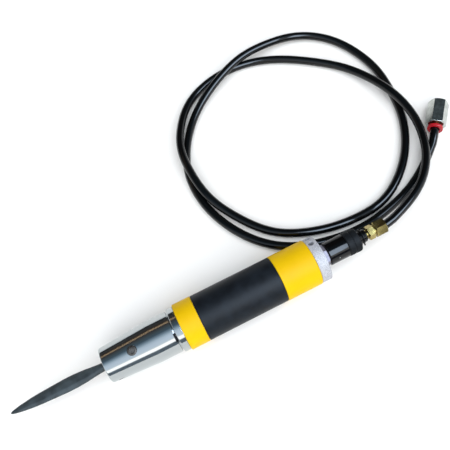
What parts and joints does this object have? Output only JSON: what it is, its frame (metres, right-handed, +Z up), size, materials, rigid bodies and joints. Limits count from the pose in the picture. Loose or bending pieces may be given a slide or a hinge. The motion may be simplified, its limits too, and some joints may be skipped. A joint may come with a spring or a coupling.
{
  "type": "pneumatic air hammer",
  "caption": "Inline air hammer with a leaf-shaped scraper blade, chromed nose, yellow rings, black grip, slide throttle and a coiled hose ending in a push-in coupling.",
  "frame": {"origin": "centre of the footprint of the tool without its hose, on the ground", "axes": "+X along the tool from the blade towards the hose, +Z up"},
  "size_m": [0.4776, 0.2656, 0.0414],
  "materials": {
    "chrome": "polished",
    "steel": "machined",
    "dark_steel": "blackened",
    "aluminium": "blasted",
    "brass": "machined",
    "bronze": "sintered bronze",
    "yellow": "gloss",
    "black_rubber": "satin",
    "seal_rubber": "matte",
    "black_gloss": "gloss",
    "black_rough": "knurled, blackened",
    "red_plastic": "gloss",
    "urethane": "satin",
    "felt": "felt"
  },
  "bodies": {
    "housing": {"nose_cone": "chrome", "nose_bush": "bronze", "front_wiper": "seal_rubber", "guide_screw_1": "dark_steel", "guide_screw_2": "dark_steel", "spring_seat": "steel", "return_spring": "steel", "buffer_ring": "urethane", "front_collar": "chrome", "front_ring": "yellow", "grip_sleeve": "black_rubber", "rear_cover": "yellow", "housing_tube": "aluminium", "cylinder": "steel", "cylinder_seal_front": "seal_rubber", "cylinder_seal_rear": "seal_rubber", "valve_seat": "steel", "valve_cap": "steel", "end_cap": "aluminium", "end_cap_seal": "seal_rubber", "exhaust_muffler": "felt", "lock_nut": "steel", "throttle_body": "black_gloss", "throttle_seal_front": "seal_rubber", "throttle_seal_rear": "seal_rubber", "collar_clip": "steel", "inlet_filter": "steel", "inlet_adapter": "brass", "hose_nut": "brass", "air_hose": "black_gloss", "connector_seal": "seal_rubber", "connector_body": "steel"},
    "tool_holder": {"chuck": "steel", "blade": "dark_steel", "blade_clamp_screw": "dark_steel"},
    "hammer": {"piston": "steel"},
    "valve_plate": {"valve_disc": "steel"},
    "throttle": {"throttle_collar": "black_rough"},
    "release": {"release_ring": "red_plastic", "connector_collet": "brass"}
  },
  "joints": [
    {"name": "tool_slide", "type": "slide", "parent": "housing", "child": "tool_holder", "axis": [-1, 0, 0], "range_m": [0, 0.004], "stiffness_N_per_m": 1500, "deforming": ["return_spring"]},
    {"name": "hammer_slide", "type": "slide", "parent": "housing", "child": "hammer", "axis": [-1, 0, 0], "range_m": [0, 0.0355]},
    {"name": "valve_lift", "type": "slide", "parent": "housing", "child": "valve_plate", "axis": [1, 0, 0], "range_m": [0, 0.0006]},
    {"name": "throttle_slide", "type": "slide", "parent": "housing", "child": "throttle", "axis": [1, 0, 0], "range_m": [0, 0.003]},
    {"name": "release_slide", "type": "slide", "parent": "housing", "child": "release", "axis": [0.6494, 0.7604, 0], "range_m": [0, 0.0012], "stiffness_N_per_m": 500}
  ]
}
